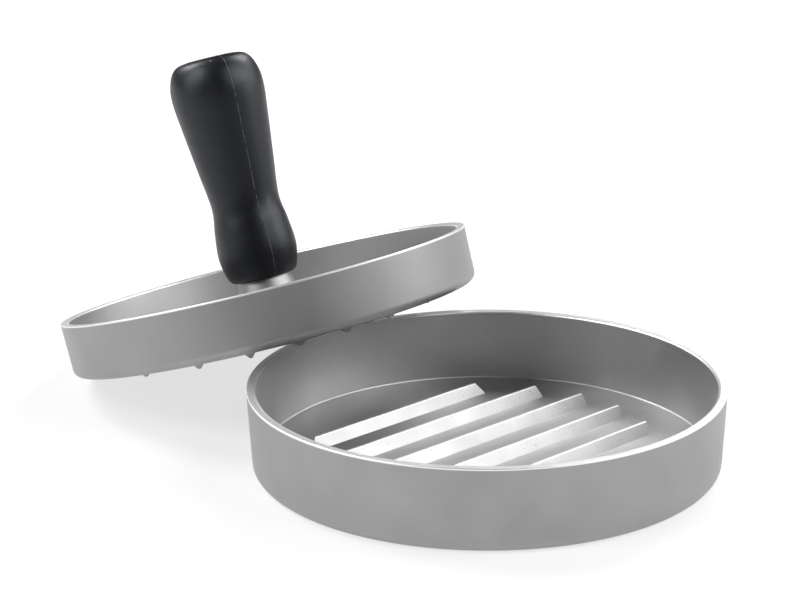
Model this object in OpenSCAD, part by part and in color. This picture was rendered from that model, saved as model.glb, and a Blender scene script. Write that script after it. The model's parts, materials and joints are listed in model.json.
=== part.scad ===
// Round two-part patty press: a shallow cast mould and a cast press plate with a
// screw-on handle. The press plate leans on the mould's rim, as it is put down.
// The origin is the centre of the mould's flat base, +Z is up and -Y is the front.

/* [Mould dish] */
// Outer diameter of the mould at its rim
mould_d = 120; // [110:1:130]
// Height of the mould
mould_h = 21.1; // [18:0.1:26]
// Thickness of the mould's floor
mould_floor = 2.4; // [2:0.1:3]
// Draft angle of the mould's wall, outside and inside
mould_draft = 2.9; // [1:0.1:6]
// Radius of the mould's lower outside edge
mould_base_round = 2.4; // [0.5:0.1:3]

/* [Press plate] */
// Outer diameter of the press plate at its rim
press_d = 114.8; // [113:0.1:115.2]
// Height of the press plate from its underside to its rim
press_h = 15.3; // [13:0.1:17]
// Thickness of the press plate's floor
press_floor = 3; // [2.5:0.1:4]
// Draft angle of the press plate's wall, outside and inside
press_draft = 1; // [0.5:0.5:3]
// Radius of the press plate's lower outside edge
press_base_round = 2.3; // [1:0.1:3]

/* [Cast walls] */
// Wall thickness of both castings
cast_wall = 2.3; // [2:0.1:3]
// Radius of the rims' outside edge
rim_outer_round = 0.2; // [0.1:0.1:0.8]
// Radius of the rims' inside edge
rim_inner_round = 0.7; // [0.3:0.1:1]
// Radius of the fillet between wall and floor
corner_fillet = 0.5; // [0.3:0.1:2]

/* [Ribs] */
// Distance from one rib to the next
rib_pitch = 13.1; // [11:0.1:15]
// Width of a rib along its flat top
rib_top_w = 0.6; // [0.4:0.1:1.2]
// Width of a rib where it leaves the floor
rib_base_w = 4.3; // [4:0.1:6]
// Number of ribs in the mould
mould_ribs = 6; // [4:2:6]
// Height of the mould's ribs
mould_rib_h = 2.8; // [2:0.1:3.2]
// Radius of the circle that ends the mould's ribs
mould_rib_circle = 43.5; // [40:0.5:48]
// Direction that the mould's ribs run in, from +X
mould_rib_heading = 45.6; // [0:0.1:90]
// Number of ribs under the press plate
press_ribs = 7; // [5:2:7]
// Height of the press plate's ribs
press_rib_h = 2.3; // [2:0.1:2.4]
// Radius of the circle that ends the press plate's ribs
press_rib_circle = 45; // [42:0.5:47]
// Direction that the press plate's ribs run in, in the plate's own frame
press_rib_heading = 143; // [120:1:160]

/* [Boss and thread] */
// Radius of the boss at its top
boss_top_r = 7.4; // [6.5:0.1:8]
// Slope of the boss's side from the handle's axis
boss_draft = 14; // [5:1:20]
// Distance from the plate's rim down to the top of the boss
boss_drop = 1.2; // [0:0.1:3]
// Nominal diameter of the screw thread
thread_d = 8; // [6:1:8]
// Radial play of the thread
thread_play = 0.05; // [0.02:0.01:0.1]
// Length of the stud inside the boss
stud_in_boss = 10; // [8:0.5:11]
// Length of the stud inside the handle
stud_in_handle = 12; // [8:0.5:14]
// Depth of the tapped hole in the boss
boss_hole_depth = 12; // [11.5:0.1:12.5]

/* [Handle] */
// Length of the handle
grip_length = 62.2; // [55:0.1:70]
// Greatest radius of the handle, near its top
grip_top_r = 12.9; // [11:0.1:15]
// Radius of the handle at its waist
grip_waist_r = 9.5; // [8.5:0.1:10.5]
// Greatest radius of the handle's lower bulge
grip_bulge_r = 11; // [10:0.1:12]
// Radius of the handle's flat lower face
grip_foot_r = 8; // [7.5:0.1:9]
// Radius of the handle's flat top
grip_crown_r = 6.4; // [5:0.1:8]
// Outer radius of the brass insert
insert_r = 6; // [5.5:0.1:6.5]
// Length of the brass insert
insert_length = 14; // [13:0.5:18]

/* [Rest position] */
// Tilt of the press plate from level
lean_tilt = 17.1; // [17.1:0.1:20]
// Direction that the press plate's axis leans in, from +X
lean_heading = 141.6; // [135:0.1:145]
// Place of the centre of the press plate's rim along X, from the mould's centre
lean_x = -61.8; // [-66:0.1:-61.8]
// Place of the centre of the press plate's rim along Y, from the mould's centre
lean_y = 63; // [63:0.1:68]
// Play between the press plate's lowest edge and the surface it stands on
lean_play = 0.01; // [0.01:0.01:0.1]

/* [Hidden] */
cast_color = "#a9a9a8";
grip_color = "#26272b";
brass_color = "#b8954f";
steel_color = "#8f9294";
round_fn = 144;
small_fn = 64;
rib_sink = 0.6;
stud_chamfer = 0.8;
thread_r = thread_d / 2;
tapped_r = thread_r + thread_play;
press_boss_top = -boss_drop;
grip_base = press_boss_top;
insert_groove_w = 2.5;
insert_groove_depth = 0.8;
boss_sink = 0.5;

// Points of a circular arc about centre c, from angle a0 to angle a1
function arc(c, r, a0, a1, n = 6) =
    [for (i = [0:n]) c + r * [cos(a0 + (a1 - a0) * i / n), sin(a0 + (a1 - a0) * i / n)]];

// Radius of a drafted outside wall at height z, for a dish whose rim is at height h
function wall_r(rim_r, h, draft, z) = rim_r - (h - z) * tan(draft);

// Centre line radius of the press plate's lower edge, and the height that stands it on z = 0
press_edge_r = wall_r(press_d / 2, press_h, press_draft, press_base_round)
    - press_base_round / cos(press_draft);
lean_z = (press_h - press_base_round) * cos(lean_tilt) + press_edge_r * sin(lean_tilt)
    + press_base_round + lean_play;

// Half section of a shallow dish that stands on z = 0: floor, drafted wall and rounded rim
function dish_section(rim_r, h, floor_t, draft, base_round) =
    let (
        slant_wall = cast_wall / cos(draft),
        top_out = h - rim_outer_round,
        top_in = h - rim_inner_round,
        corner = floor_t + corner_fillet,
        out_r = wall_r(rim_r, h, draft, top_out) - rim_outer_round / cos(draft),
        base_r = wall_r(rim_r, h, draft, base_round) - base_round / cos(draft),
        in_r = wall_r(rim_r, h, draft, top_in) - slant_wall + rim_inner_round / cos(draft),
        corner_r = wall_r(rim_r, h, draft, corner) - slant_wall - corner_fillet / cos(draft)
    )
    concat(
        [[0, 0]],
        arc([base_r, base_round], base_round, -90, -draft, 8),
        arc([out_r, top_out], rim_outer_round, -draft, 90),
        arc([in_r, top_in], rim_inner_round, 90, 180 - draft),
        arc([corner_r, corner], corner_fillet, -draft, -90),
        [[0, floor_t]]
    );

// Point at t from 0 to 1 on the smooth curve from b to c, with a and d as its neighbours
function smooth_point(a, b, c, d, t) =
    0.5 * (2 * b + (c - a) * t + (2 * a - 5 * b + 4 * c - d) * pow(t, 2)
        + (3 * b - a - 3 * c + d) * pow(t, 3));

// Smooth curve through every station but the first and the last, which set its end directions
function smooth_curve(stations, steps) =
    concat(
        [for (i = [1:len(stations) - 3], k = [0:steps - 1])
            smooth_point(stations[i - 1], stations[i], stations[i + 1], stations[i + 2], k / steps)],
        [stations[len(stations) - 2]]
    );

// Handle outline as [radius, height above its foot], from the foot's edge to the crown's edge
grip_stations = [
    [grip_foot_r - 1.6, 0.3],
    [grip_foot_r, 0],
    [grip_foot_r + 1.7, 1.4],
    [grip_bulge_r, 7.4],
    [grip_waist_r + 0.9, 14.6],
    [grip_waist_r, 21.4],
    [grip_waist_r + 1.1, 31.4],
    [grip_top_r - 1, 42.4],
    [grip_top_r, 52.6],
    [grip_top_r - 0.9, grip_length - 4],
    [grip_top_r - 3, grip_length - 0.9],
    [grip_crown_r, grip_length],
    [grip_crown_r - 3, grip_length]
];

// Place and tilt of the press plate: z = 0 of the children is the plane of its rim
module at_press() {
    translate([lean_x, lean_y, lean_z])
        rotate([0, 0, lean_heading])
            rotate([0, lean_tilt, 0])
                children();
}

// One straight rib along X on the plane z = 0, with sloping sides
module rib(height, length) {
    rotate([90, 0, 90])
        linear_extrude(length, center = true)
            polygon([
                [-rib_base_w / 2, -rib_sink],
                [rib_base_w / 2, -rib_sink],
                [rib_base_w / 2, 0],
                [rib_top_w / 2, height],
                [-rib_top_w / 2, height],
                [-rib_base_w / 2, 0]
            ]);
}

// Parallel ribs whose ends all follow one circle
module rib_set(count, height, circle_r) {
    intersection() {
        union() {
            for (i = [0:count - 1])
                translate([0, (i - (count - 1) / 2) * rib_pitch, 0])
                    rib(height, 2 * circle_r);
        }
        translate([0, 0, -rib_sink])
            cylinder(r = circle_r, h = height + rib_sink, $fn = round_fn);
    }
}

// Cast boss in the middle of the press plate, drawn down from its top
module boss() {
    boss_h = press_h - press_floor - boss_drop + boss_sink;
    translate([0, 0, press_boss_top - boss_h])
        cylinder(r1 = boss_top_r + boss_h * tan(boss_draft), r2 = boss_top_r, h = boss_h, $fn = small_fn);
}

// Shallow round mould with ribs on its floor
module mould_dish() {
    color(cast_color) {
        rotate_extrude($fn = round_fn)
            polygon(dish_section(mould_d / 2, mould_h, mould_floor, mould_draft, mould_base_round));
        translate([0, 0, mould_floor])
            rotate([0, 0, mould_rib_heading])
                rib_set(mould_ribs, mould_rib_h, mould_rib_circle);
    }
}

// Press plate: a shallow dish with ribs under its floor and a tapped boss for the handle
module press_plate() {
    color(cast_color)
        at_press()
            difference() {
                union() {
                    translate([0, 0, -press_h]) {
                        rotate_extrude($fn = round_fn)
                            polygon(dish_section(press_d / 2, press_h, press_floor, press_draft,
                                press_base_round));
                        rotate([0, 0, press_rib_heading])
                            mirror([0, 0, 1])
                                rib_set(press_ribs, press_rib_h, press_rib_circle);
                    }
                    boss();
                }
                translate([0, 0, press_boss_top - boss_hole_depth])
                    cylinder(r = tapped_r, h = boss_hole_depth + 1, $fn = small_fn);
            }
}

// Outside of the brass insert: a bush with a groove that the handle is moulded into
module insert_body() {
    difference() {
        translate([0, 0, grip_base])
            cylinder(r = insert_r, h = insert_length, $fn = small_fn);
        translate([0, 0, grip_base + (insert_length - insert_groove_w) / 2])
            rotate_extrude($fn = small_fn)
                translate([insert_r - insert_groove_depth, 0])
                    square([2 * insert_groove_depth, insert_groove_w]);
    }
}

// Black moulded handle, waisted, with a flat crown and foot
module handle_grip() {
    color(grip_color)
        at_press()
            difference() {
                translate([0, 0, grip_base])
                    rotate_extrude($fn = round_fn)
                        polygon(concat([[0, 0]], smooth_curve(grip_stations, 5), [[0, grip_length]]));
                insert_body();
            }
}

// Brass insert, tapped from its lower face
module handle_insert() {
    color(brass_color)
        at_press()
            difference() {
                insert_body();
                translate([0, 0, grip_base - 1])
                    cylinder(r = tapped_r, h = stud_in_handle + 1.5, $fn = small_fn);
            }
}

// Steel stud that joins the handle to the boss, with chamfered ends
module handle_stud() {
    stud_length = stud_in_boss + stud_in_handle;
    color(steel_color)
        at_press()
            translate([0, 0, grip_base - stud_in_boss])
                rotate_extrude($fn = small_fn)
                    polygon([
                        [0, 0],
                        [thread_r - stud_chamfer, 0],
                        [thread_r, stud_chamfer],
                        [thread_r, stud_length - stud_chamfer],
                        [thread_r - stud_chamfer, stud_length],
                        [0, stud_length]
                    ]);
}

mould_dish();
press_plate();
handle_grip();
handle_insert();
handle_stud();
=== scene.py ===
"""Looks of the patty press: materials, small surface details, studio and camera."""

import json
import math

import bpy
from mathutils import Matrix, Vector


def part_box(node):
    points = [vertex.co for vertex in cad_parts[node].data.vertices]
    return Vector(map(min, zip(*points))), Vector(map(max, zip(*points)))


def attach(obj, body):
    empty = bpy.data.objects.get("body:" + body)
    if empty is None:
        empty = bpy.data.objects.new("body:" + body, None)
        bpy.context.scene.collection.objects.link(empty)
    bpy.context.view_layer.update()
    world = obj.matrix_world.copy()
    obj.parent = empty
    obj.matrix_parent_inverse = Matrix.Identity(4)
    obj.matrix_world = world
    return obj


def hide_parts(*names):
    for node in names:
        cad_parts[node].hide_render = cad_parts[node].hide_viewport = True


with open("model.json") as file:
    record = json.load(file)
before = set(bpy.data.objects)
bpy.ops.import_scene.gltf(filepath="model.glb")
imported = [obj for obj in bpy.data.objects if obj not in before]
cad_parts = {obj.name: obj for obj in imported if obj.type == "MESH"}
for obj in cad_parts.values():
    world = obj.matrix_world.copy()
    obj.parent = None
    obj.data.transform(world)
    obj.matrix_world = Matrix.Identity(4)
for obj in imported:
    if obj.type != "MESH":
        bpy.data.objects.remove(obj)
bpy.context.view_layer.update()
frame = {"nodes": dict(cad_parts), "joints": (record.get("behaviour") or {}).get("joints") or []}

MM = 0.001


# ---------------------------------------------------------------- camera

CAMERA_DISTANCE = 0.55907      # from the centre of the mould's base
CAMERA_ELEVATION = 21.303      # degrees above the table
CAMERA_YAW = 2.339             # degrees that the view turns left of the mould's centre
CAMERA_PITCH = 17.140          # degrees that the view looks down
CAMERA_ROLL = -0.764           # degrees that the camera leans
LENS_MM = 99.0
SENSOR_MM = 36.0


def add_camera():
    elevation = math.radians(CAMERA_ELEVATION)
    place = CAMERA_DISTANCE * Vector((0, -math.cos(elevation), math.sin(elevation)))
    look = (
        Matrix.Rotation(math.radians(CAMERA_YAW), 4, "Z")
        @ Matrix.Rotation(math.radians(90 - CAMERA_PITCH), 4, "X")
        @ Matrix.Rotation(math.radians(CAMERA_ROLL), 4, "Z")
    )
    data = bpy.data.cameras.new("camera")
    data.lens = LENS_MM
    data.sensor_width = SENSOR_MM
    data.sensor_fit = "HORIZONTAL"
    data.clip_start = 0.01
    data.dof.use_dof = False
    camera = bpy.data.objects.new("camera", data)
    camera.matrix_world = Matrix.Translation(place) @ look
    bpy.context.scene.collection.objects.link(camera)
    bpy.context.scene.camera = camera


# ---------------------------------------------------------------- node helpers

# sockets of a Mix node that mixes colours
MIX_FACTOR, MIX_LOW, MIX_HIGH = 0, 6, 7
MIX_RESULT = 2


def grey(tone):
    return (tone, tone, tone)


class Nodes:
    """Builds one material's node tree, with every texture in the piece's own coordinates."""

    def __init__(self, name, place=Matrix.Identity(4)):
        self.material = bpy.data.materials.new(name)
        self.material.use_nodes = True
        self.tree = self.material.node_tree
        self.shader = self.tree.nodes["Principled BSDF"]
        self.place = self.mapped(place)

    def mapped(self, place):
        """Coordinates in the frame of a part: the object's own, moved back and turned back."""
        node = self.tree.nodes.new("ShaderNodeMapping")
        node.vector_type = "TEXTURE"
        node.inputs["Location"].default_value = place.to_translation()
        node.inputs["Rotation"].default_value = place.to_euler()
        own = self.tree.nodes.new("ShaderNodeTexCoord")
        self.link(own.outputs["Object"], node.inputs["Vector"])
        return node.outputs["Vector"]

    def axis(self, letter):
        node = self.tree.nodes.new("ShaderNodeSeparateXYZ")
        self.link(self.place, node.inputs["Vector"])
        return node.outputs[letter]

    def vector(self, *values):
        node = self.tree.nodes.new("ShaderNodeCombineXYZ")
        for socket, value in zip(node.inputs, values):
            self.feed(value, socket)
        return node.outputs["Vector"]

    def radius(self):
        """Distance from the part's axis."""
        x, y = self.axis("X"), self.axis("Y")
        square = self.math("ADD", self.math("MULTIPLY", x, x), self.math("MULTIPLY", y, y))
        return self.math("SQRT", square, 0.0)

    def link(self, source, target):
        self.tree.links.new(source, target)

    def feed(self, value, socket):
        """Sets a socket to a number or a colour, or links another node's output to it."""
        if isinstance(value, (int, float)):
            socket.default_value = value
        elif isinstance(value, tuple):
            socket.default_value = (*value, 1)
        else:
            self.link(value, socket)

    def set(self, **values):
        for name, value in values.items():
            self.shader.inputs[name.replace("_", " ")].default_value = value

    def noise(self, size_mm, detail=2.0, roughness=0.5, place=None):
        node = self.tree.nodes.new("ShaderNodeTexNoise")
        node.inputs["Scale"].default_value = 1 / (size_mm * MM)
        node.inputs["Detail"].default_value = detail
        node.inputs["Roughness"].default_value = roughness
        self.link(place or self.place, node.inputs["Vector"])
        return node.outputs["Fac"]

    def spread(self, value, low, high, start=0.3, end=0.7):
        """Maps value from start..end to low..high, and holds it there."""
        node = self.tree.nodes.new("ShaderNodeMapRange")
        node.inputs["From Min"].default_value = start
        node.inputs["From Max"].default_value = end
        node.inputs["To Min"].default_value = low
        node.inputs["To Max"].default_value = high
        self.link(value, node.inputs["Value"])
        return node.outputs["Result"]

    def rise(self, value, start_mm, end_mm):
        """0 up to start_mm and 1 from end_mm on."""
        return self.spread(value, 0, 1, start_mm * MM, end_mm * MM)

    def fall(self, value, start_mm, end_mm):
        """1 up to start_mm and 0 from end_mm on."""
        return self.spread(value, 1, 0, start_mm * MM, end_mm * MM)

    def math(self, operation, a, b):
        node = self.tree.nodes.new("ShaderNodeMath")
        node.operation = operation
        for socket, value in zip(node.inputs, (a, b)):
            self.feed(value, socket)
        return node.outputs["Value"]

    def overlap(self, first, *others):
        """The product of masks: 1 only where every one is 1."""
        for other in others:
            first = self.math("MULTIPLY", first, other)
        return first

    def without(self, mask):
        return self.math("SUBTRACT", 1.0, mask)

    def blend(self, factor, low, high):
        """The number low where factor is 0, and high where it is 1."""
        part_low = self.math("MULTIPLY", self.without(factor), low)
        part_high = self.math("MULTIPLY", factor, high)
        return self.math("ADD", part_low, part_high)

    def mix(self, factor, low, high):
        """The colour low where factor is 0, and high where it is 1."""
        node = self.tree.nodes.new("ShaderNodeMix")
        node.data_type = "RGBA"
        self.feed(factor, node.inputs[MIX_FACTOR])
        self.feed(low, node.inputs[MIX_LOW])
        self.feed(high, node.inputs[MIX_HIGH])
        return node.outputs[MIX_RESULT]

    def bump(self, height, depth_mm, strength):
        node = self.tree.nodes.new("ShaderNodeBump")
        node.inputs["Strength"].default_value = strength
        node.inputs["Distance"].default_value = depth_mm * MM
        self.link(height, node.inputs["Height"])
        return node.outputs["Normal"]


# ---------------------------------------------------------------- stage and light

FLOOR_HALF = 3.0               # metres from the middle of the floor to its edge
FLOOR_COLOUR = 0.28
FLOOR_GLOW = 0.68              # near the object
FAR_GLOW = 1.0                 # where the lights no longer reach
GLOW_RISE = (0.35, 1.3)        # metres from the object that the glow rises over
ROOM_GLOW = 0.04               # of the room beyond the floor, as the object sees it

LIGHT_DISTANCE = 1.0
LIGHT_SIZE = 0.42
LIGHT_TARGET = Vector((-0.02, 0.02, 0.02))

# name, degrees round from the right towards the back, degrees up, brightness
LIGHTS = (
    ("back_left_high", 150, 42, 13.7),
    ("back_right_high", 60, 42, 11.7),
    ("front_left_high", 210, 42, 8.3),
    ("front_right_high", 330, 42, 6.9),
    ("right_high", 0, 42, 4.4),
    ("right_low", 6, 23, 5.3),
    ("back_right_low", 30, 23, 3.0),
    ("left_low", 198, 23, 4.0),
)


def add_floor():
    mesh = bpy.data.meshes.new("floor")
    h = FLOOR_HALF
    mesh.from_pydata([(-h, -h, 0), (h, -h, 0), (h, h, 0), (-h, h, 0)], [], [(0, 1, 2, 3)])
    floor = bpy.data.objects.new("floor", mesh)
    bpy.context.scene.collection.objects.link(floor)
    paper = Nodes("floor_paper")
    paper.set(Roughness=0.9, Emission_Color=(1, 1, 1, 1))
    glow = paper.spread(paper.radius(), FLOOR_GLOW, FAR_GLOW, *GLOW_RISE)
    paper.link(glow, paper.shader.inputs["Emission Strength"])
    paper.set(Base_Color=(*grey(FLOOR_COLOUR), 1))
    mesh.materials.append(paper.material)


def add_world():
    """A dim room that looks pale where the view passes over the edge of the floor."""
    world = bpy.data.worlds.new("studio")
    world.use_nodes = True
    tree = world.node_tree
    background = tree.nodes["Background"]
    background.inputs["Color"].default_value = (1, 1, 1, 1)
    path = tree.nodes.new("ShaderNodeLightPath")
    strength = tree.nodes.new("ShaderNodeMapRange")
    strength.inputs["To Min"].default_value = ROOM_GLOW
    tree.links.new(path.outputs["Is Camera Ray"], strength.inputs["Value"])
    tree.links.new(strength.outputs["Result"], background.inputs["Strength"])
    bpy.context.scene.world = world


def add_lights():
    """Round softboxes of one size around the object, brighter than white by their brightness."""
    for name, azimuth, elevation, brightness in LIGHTS:
        data = bpy.data.lights.new(name, "AREA")
        data.shape = "DISK"
        data.size = LIGHT_SIZE
        data.energy = brightness * math.pi**2 * (LIGHT_SIZE / 2) ** 2
        turn = Matrix.Rotation(math.radians(azimuth), 4, "Z") @ Matrix.Rotation(
            math.radians(-elevation), 4, "Y"
        )
        toward = (turn @ Vector((1, 0, 0))).normalized()
        light = bpy.data.objects.new(name, data)
        light.location = LIGHT_TARGET + LIGHT_DISTANCE * toward
        light.rotation_euler = toward.to_track_quat("Z", "Y").to_euler()
        light.visible_camera = False
        bpy.context.scene.collection.objects.link(light)


# ---------------------------------------------------------------- places on the object

def place_of_press():
    """Frame of the press plate, from the handle's axis in the record; z = 0 is its rim."""
    turn = next(j for j in frame["joints"] if j["name"] == "handle_turn")
    axis = Vector(turn["axis"]).normalized()
    return (
        Matrix.Translation(turn["pos_m"])
        @ Matrix.Rotation(math.atan2(axis.y, axis.x), 4, "Z")
        @ Matrix.Rotation(math.acos(axis.z), 4, "Y")
    )


MOULD_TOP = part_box("mould_dish")[1].z
MOULD_PLACE = Matrix.Translation((0, 0, MOULD_TOP))
PRESS_PLACE = place_of_press()


# ---------------------------------------------------------------- materials

# tones that both castings share: dark pits, and painted highlights on the rib crests and in the
# fillet
PIT = grey(0.14)
CREST_HIGHLIGHT = grey(0.94)
FILLET_HIGHLIGHT = grey(0.52)

# radii, and heights from the rim, in millimetres (boss_foot is 0 where there is no boss); tones
# of the cast blotches, of the wall and floor inside, and of the rim; the wall inside is painted
# light, lighter than outside, and the floor inside painted light in the mould and painted shade in
# the press
MOULD_CASTING = {
    "wall": 58.0, "floor": -18.7, "rib_root": -18.7, "rib_crest": -15.9, "boss_foot": 0.0,
    "dark_tone": 0.35, "light_tone": 0.395, "wall_light_tone": 0.51, "floor_light_shade_tone": 0.43,
    "rim_tone": 0.92,
}
# the press's blotch tones are set a little darker than the mould's: painted shade
PRESS_CASTING = {
    "wall": 55.4, "floor": -12.3, "rib_root": -15.3, "rib_crest": -17.6, "boss_foot": 13.0,
    "dark_tone": 0.33, "light_tone": 0.375, "wall_light_tone": 0.47, "floor_light_shade_tone": 0.30,
    "rim_tone": 0.86,
}

# where one zone of a casting gives way to the next, in millimetres
RIM_EDGE = (-0.53, -0.37)      # up from the rim
WALL_FACE = (-0.4, 0.4)        # outwards from the wall
WALL_ZONE = (-9, -6)           # outwards from the wall, over the floor beside it
OVER_FLOOR = (0.3, 0.6)        # up from the floor
FILLET_FOOT = (0.02, 0.06)     # up from the floor
IN_FLOOR = (-0.5, -0.2)        # up from the floor
RIB_FOOT = (0.1, 0.5)          # from a rib's root towards its crest
RIB_TIP = (-0.12, -0.04)       # from a rib's crest, onwards
BOSS_EDGE = (0, 1)             # outwards from the boss's foot
COARSE_END = (4, 26)           # along the ribs from their middle, towards their rough ends
RIB_HEADING = 45.6             # degrees, of the mould's ribs

# mottling and relief, in millimetres
BLOTCH_SIZE = 22
GLOSS_SIZE = 9
GRAIN_SIZE = 0.42
SPECK_SIZE = 0.9
TURNING_SIZE = 0.14
RELIEF_DEPTH = 0.05
GRAIN_DEPTH = (0.3, 1.0)       # share of the relief, on smooth skin and on rough
RING_DEPTH = 0.3               # share of the relief, on the machined rim
CAST_ROUGHNESS = (0.46, 0.54)
RIM_ROUGHNESS = 0.45


class Casting(Nodes):
    """A cast part's node tree, with masks for the zones of its surface."""

    def __init__(self, name, place, casting):
        super().__init__(name, place)
        self.casting = casting
        height, radius = self.axis("Z"), self.radius()
        self.rim = self.rise(height, *RIM_EDGE)
        self.inside = self.fall(radius, *self.shifted("wall", WALL_FACE))
        near_wall = self.rise(radius, *self.shifted("wall", WALL_ZONE))
        above_floor = self.rise(height, *self.shifted("floor", OVER_FLOOR))
        self.wall = self.overlap(self.inside, near_wall, above_floor)
        off_floor = self.rise(height, *self.shifted("floor", FILLET_FOOT))
        # the fillet band at the foot of the inner wall, where a painted highlight line goes
        self.corner = self.overlap(self.inside, near_wall, off_floor, self.without(above_floor))
        over_floor = self.rise(height, *self.shifted("floor", IN_FLOOR))
        self.in_dish = self.overlap(self.inside, over_floor)
        if casting["boss_foot"] > 0:
            off_boss = self.rise(radius, *self.shifted("boss_foot", BOSS_EDGE))
            self.in_dish = self.overlap(self.in_dish, off_boss)
        on_rib = self.rise(height, *self.shifted("rib_root", RIB_FOOT))
        self.ribs = self.overlap(self.without(near_wall), on_rib)
        # the crests of the ribs, where a painted highlight goes
        self.crest_highlight = self.overlap(self.ribs, self.rise(height, *self.shifted("rib_crest", RIB_TIP)))

        along_ribs = self.mapped(place @ Matrix.Rotation(math.radians(RIB_HEADING), 4, "Z"))
        split = self.tree.nodes.new("ShaderNodeSeparateXYZ")
        self.link(along_ribs, split.inputs["Vector"])
        self.coarse = self.overlap(self.ribs, self.rise(split.outputs["X"], *COARSE_END))

    def shifted(self, name, band):
        """A band of millimetres from one of the casting's sizes; a rib's run towards its crest."""
        way = 1
        if name.startswith("rib_"):
            way = math.copysign(1, self.casting["rib_crest"] - self.casting["rib_root"])
        return [self.casting[name] + way * offset for offset in band]


def cast_aluminium(name, place, casting):
    """Blasted cast aluminium: blotches, grain, uneven gloss, a machined rim, painted light and
    shade.
    """
    m = Casting(name, place, casting)
    m.set(Metallic=1.0)
    grain = m.noise(GRAIN_SIZE, detail=2, roughness=0.7)
    dark, light = grey(casting["dark_tone"]), grey(casting["light_tone"])
    skin = m.mix(m.noise(BLOTCH_SIZE, detail=3), dark, light)
    # painted light on the inner walls; painted light on the mould's inner floor, painted shade on
    # the press's
    skin = m.mix(m.in_dish, skin, grey(casting["floor_light_shade_tone"]))
    skin = m.mix(m.wall, skin, grey(casting["wall_light_tone"]))
    # a painted highlight line in the fillet
    skin = m.mix(m.corner, skin, FILLET_HIGHLIGHT)
    shaded_grain = m.spread(grain, low=0.3, high=0, start=0.3, end=0.5)
    skin = m.mix(m.overlap(m.coarse, shaded_grain), skin, PIT)
    specks = m.noise(SPECK_SIZE, detail=2, roughness=0.6)
    deep_specks = m.spread(specks, low=0, high=1, start=0.71, end=0.76)
    skin = m.mix(m.overlap(m.ribs, deep_specks), skin, PIT)
    # a painted highlight along the rib crests
    skin = m.mix(m.crest_highlight, skin, CREST_HIGHLIGHT)
    skin = m.mix(m.rim, skin, grey(casting["rim_tone"]))
    m.link(skin, m.shader.inputs["Base Color"])

    gloss = m.spread(m.noise(GLOSS_SIZE, detail=4), *CAST_ROUGHNESS)
    m.link(m.blend(m.rim, gloss, RIM_ROUGHNESS), m.shader.inputs["Roughness"])

    rings = m.noise(TURNING_SIZE, detail=1, place=m.vector(m.radius(), 0.0, 0.0))
    cast_relief = m.math("MULTIPLY", grain, m.blend(m.coarse, *GRAIN_DEPTH))
    relief = m.blend(m.rim, cast_relief, m.math("MULTIPLY", rings, RING_DEPTH))
    m.link(m.bump(relief, RELIEF_DEPTH, strength=0.5), m.shader.inputs["Normal"])
    return m.material


def black_plastic(name):
    """Satin black phenolic with a very fine texture."""
    m = Nodes(name, PRESS_PLACE)
    shade = m.mix(m.noise(8, detail=3), (0.0015, 0.0018, 0.003), (0.003, 0.0033, 0.005))
    m.link(shade, m.shader.inputs["Base Color"])
    gloss = m.spread(m.noise(3, detail=3), low=0.40, high=0.47)
    m.link(gloss, m.shader.inputs["Roughness"])
    m.set(IOR=1.5, Specular_Tint=(0.88, 0.91, 1.0, 1))
    texture = m.bump(m.noise(0.25), depth_mm=0.01, strength=0.2)
    m.link(texture, m.shader.inputs["Normal"])
    return m.material


def plastic_flash(name):
    """The thin flash where the two halves of the handle's mould met: pale, broken in places."""
    m = Nodes(name, PRESS_PLACE)
    whole = m.spread(m.noise(0.9, roughness=0.6), low=0, high=1, start=0.42, end=0.52)
    m.link(m.mix(whole, (0.01, 0.01, 0.012), (0.12, 0.12, 0.13)), m.shader.inputs["Base Color"])
    m.link(m.spread(m.noise(0.5), low=0.5, high=0.7), m.shader.inputs["Roughness"])
    return m.material


BRASS = (0.72, 0.56, 0.29)
STEEL = (0.56, 0.57, 0.58)
DULLED = 0.86                  # share of a metal's colour where it is duller


def turned_metal(name, colour, roughness):
    """Metal turned on a lathe: rings round the handle's axis, and faint blotches."""
    m = Nodes(name, PRESS_PLACE)
    m.set(Metallic=1.0)
    dull = tuple(DULLED * c for c in colour)
    m.link(m.mix(m.noise(3, detail=3), dull, colour), m.shader.inputs["Base Color"])
    gloss = m.spread(m.noise(1.5, detail=3), low=roughness - 0.05, high=roughness + 0.08)
    m.link(gloss, m.shader.inputs["Roughness"])
    rings = m.noise(0.18, place=m.vector(m.radius(), 0.0, m.axis("Z")))
    m.link(m.bump(rings, depth_mm=0.02, strength=0.4), m.shader.inputs["Normal"])
    return m.material


SOFTEN_ANGLE = 20.0            # degrees between faces that belong to one rounded surface
SPOT_DIGITS = 7                # decimals of a metre that tell two points apart
NORMAL_DIGITS = 3              # decimals that tell two directions apart


def soften(piece):
    """Shades neighbouring bands of one rounded surface as one, and leaves real edges sharp."""
    mesh = piece.data
    limit = math.cos(math.radians(SOFTEN_ANGLE))
    corners = [c.vector.copy() for c in mesh.corner_normals]

    def spot_of(loop):
        return tuple(round(c, SPOT_DIGITS) for c in mesh.vertices[loop.vertex_index].co)

    meeting = {}
    for face in mesh.polygons:
        for index in face.loop_indices:
            bands = meeting.setdefault(spot_of(mesh.loops[index]), {})
            band = tuple(round(c, NORMAL_DIGITS) for c in corners[index])
            normal, area = bands.get(band, (corners[index], 0.0))
            bands[band] = (normal, area + face.area)
    blended = []
    for loop, normal in zip(mesh.loops, corners):
        total = Vector()
        for other, area in meeting[spot_of(loop)].values():
            if other.dot(normal) > limit:
                total += other * area
        blended.append(total.normalized())
    mesh.normals_split_custom_set(blended)


def dress(piece, material):
    piece.data.materials.clear()
    piece.data.materials.append(material)


# ---------------------------------------------------------------- small pieces on the handle

# sizes are millimetres, and azimuths degrees round the handle's axis in the press plate's frame
INSERT_RADIUS = 6.3

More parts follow.
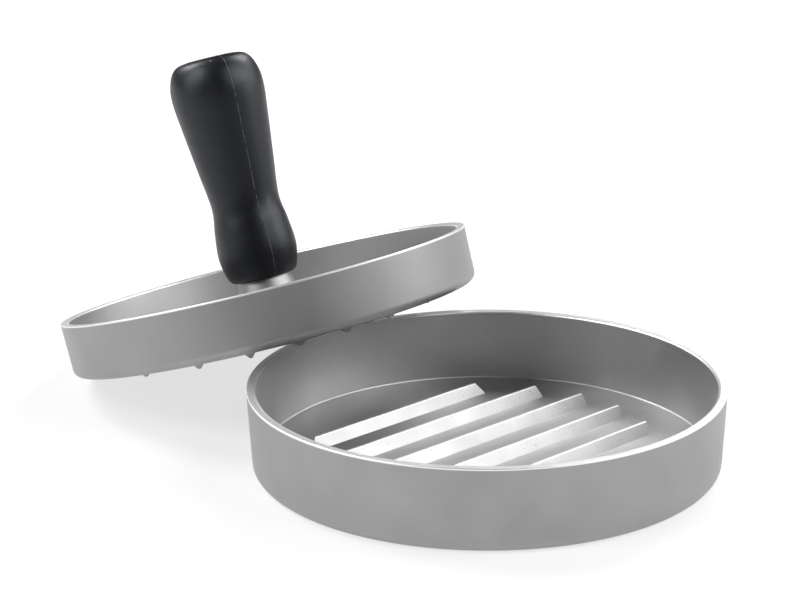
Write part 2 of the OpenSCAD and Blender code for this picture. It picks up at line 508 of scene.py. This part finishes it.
FLASH_AZIMUTH = 156.8
FLASH_WIDTH = 0.15
FLASH_HEIGHT = 0.05
FLASH_SINK = 0.06

GATE_AZIMUTH = 137.2
GATE_PLACE = (10.07, 59.96)    # radius and height
GATE_RADIUS = 0.32
GATE_SINK = 0.1
# each ring's share of the mark's radius, and its height
GATE_RINGS = ((1.0, -GATE_SINK), (1.0, 0.02), (0.8, 0.09), (0.5, 0.05))
GATE_SIDES = 14


def add_piece(name, points, faces, body, material):
    """A mesh whose points are millimetres in the press plate's frame, and that rides on a body."""
    mesh = bpy.data.meshes.new(name)
    mesh.from_pydata([PRESS_PLACE @ (Vector(p) * MM) for p in points], [], faces)
    mesh.validate()
    piece = bpy.data.objects.new(name, mesh)
    bpy.context.scene.collection.objects.link(piece)
    dress(piece, material)
    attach(piece, body)
    return piece


def grip_outline():
    """The handle's outline from its foot to the middle of its crown, as (radius, height)."""
    back = PRESS_PLACE.inverted()
    widest = {}
    for vertex in frame["nodes"]["handle_grip"].data.vertices:
        x, y, z = (back @ vertex.co) / MM
        level = round(z, 2)
        widest[level] = max(widest.get(level, 0), math.hypot(x, y))
    top = max(widest)
    outline = sorted((z, r) for z, r in widest.items() if r > INSERT_RADIUS)
    return [(r, z) for z, r in outline] + [(0, top)]


def add_flash():
    """A low ridge up one side of the handle, over its crown and down the other side."""
    side = grip_outline()
    path = side + [(-r, z) for r, z in reversed(side[:-1])]
    azimuth = math.radians(FLASH_AZIMUTH)
    out = Vector((math.cos(azimuth), math.sin(azimuth), 0))
    up = Vector((0, 0, 1))
    across = out.cross(up)
    half = FLASH_WIDTH / 2
    section = ((-half, -FLASH_SINK), (-half, 0), (0, FLASH_HEIGHT), (half, 0), (half, -FLASH_SINK))
    count = len(section)
    points, faces = [], []
    for i, (r, z) in enumerate(path):
        r0, z0 = path[max(i - 1, 0)]
        r1, z1 = path[min(i + 1, len(path) - 1)]
        normal = (out * (z1 - z0) - up * (r1 - r0)).normalized()
        for aside, rise in section:
            points.append(out * r + up * z + across * aside + normal * rise)
    for i in range(len(path) - 1):
        for k in range(count):
            a, b = i * count + k, i * count + (k + 1) % count
            faces.append((a, b, b + count, a + count))
    last = (len(path) - 1) * count
    faces.append(tuple(reversed(range(count))))
    faces.append(tuple(range(last, last + count)))
    material = plastic_flash("black_flash")
    add_piece("handle_parting_line", points, faces, "handle", material)


def add_gate_mark():
    """The small round scar of the moulding gate, on the rounded edge of the crown."""
    azimuth = math.radians(GATE_AZIMUTH)
    out = Vector((math.cos(azimuth), math.sin(azimuth), 0))
    up = Vector((0, 0, 1))
    nearest = sorted(grip_outline(), key=lambda point: math.dist(point, GATE_PLACE))[:2]
    (r0, z0), (r1, z1) = sorted(nearest, key=lambda point: point[1])
    normal = (out * (z1 - z0) - up * (r1 - r0)).normalized()
    centre = out * (r0 + r1) / 2 + up * (z0 + z1) / 2
    side = out.cross(up)
    along = normal.cross(side)
    points = []
    for share, rise in GATE_RINGS:
        for k in range(GATE_SIDES):
            turn = 2 * math.pi * k / GATE_SIDES
            flat = side * math.cos(turn) + along * math.sin(turn)
            points.append(centre + flat * share * GATE_RADIUS + normal * rise)
    faces = [tuple(reversed(range(GATE_SIDES)))]
    for i in range(len(GATE_RINGS) - 1):
        for k in range(GATE_SIDES):
            a, b = i * GATE_SIDES + k, i * GATE_SIDES + (k + 1) % GATE_SIDES
            faces.append((a, b, b + GATE_SIDES, a + GATE_SIDES))
    faces.append(tuple(range(len(points) - GATE_SIDES, len(points))))
    material = plastic_flash("black_gate")
    add_piece("handle_gate_mark", points, faces, "handle", material)


# ---------------------------------------------------------------- thread of the stud

THREAD_PITCH = 1.25            # millimetres, as are the next three
THREAD_CREST = 4.0
THREAD_ROOT = 3.35
STUD_CHAMFER = 0.8
THREAD_FLAT = 0.2              # share of a turn that the crest takes, and the root too
THREAD_STEPS = 10              # rows along one turn of the thread
STUD_SIDES = 40


def thread_radius(phase):
    """Radius at a phase from 0 to 1 along one turn: flat crest, flank, flat root, flank."""
    share = abs(2 * (phase % 1) - 1)
    up_flank = (share - THREAD_FLAT) / (1 - 2 * THREAD_FLAT)
    return THREAD_ROOT + (THREAD_CREST - THREAD_ROOT) * min(max(up_flank, 0), 1)


def add_thread(material):
    """The stud with its right-hand thread, in the place of the plain one."""
    back = PRESS_PLACE.inverted()
    heights = [(back @ v.co).z / MM for v in frame["nodes"]["handle_stud"].data.vertices]
    low, high = min(heights), max(heights)
    rows = round((high - low) / THREAD_PITCH * THREAD_STEPS)
    points, faces = [], []
    for i in range(rows + 1):
        z = low + (high - low) * i / rows
        limit = THREAD_CREST - STUD_CHAMFER + min(z - low, high - z)
        for k in range(STUD_SIDES):
            share = k / STUD_SIDES
            turn = 2 * math.pi * share
            r = min(thread_radius(z / THREAD_PITCH - share), limit)
            points.append((r * math.cos(turn), r * math.sin(turn), z))
    for i in range(rows):
        for k in range(STUD_SIDES):
            a, b = i * STUD_SIDES + k, i * STUD_SIDES + (k + 1) % STUD_SIDES
            faces.append((a, b, b + STUD_SIDES, a + STUD_SIDES))
    faces.append(tuple(reversed(range(STUD_SIDES))))
    faces.append(tuple(range(len(points) - STUD_SIDES, len(points))))
    piece = add_piece("stud_thread", points, faces, "stud", material)
    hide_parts("handle_stud")


# ---------------------------------------------------------------- the scene

add_camera()
add_floor()
add_world()
add_lights()

nodes = frame["nodes"]
dress(nodes["mould_dish"], cast_aluminium("cast_mould", MOULD_PLACE, MOULD_CASTING))
dress(nodes["press_plate"], cast_aluminium("cast_press", PRESS_PLACE, PRESS_CASTING))
dress(nodes["handle_grip"], black_plastic("black_grip"))
dress(nodes["handle_insert"], turned_metal("brass_insert", BRASS, roughness=0.35))
for name in ("mould_dish", "press_plate", "handle_grip"):
    soften(nodes[name])
add_thread(turned_metal("steel_stud", STEEL, roughness=0.3))
add_flash()
add_gate_mark()
bpy.context.scene.view_settings.view_transform = "Standard"
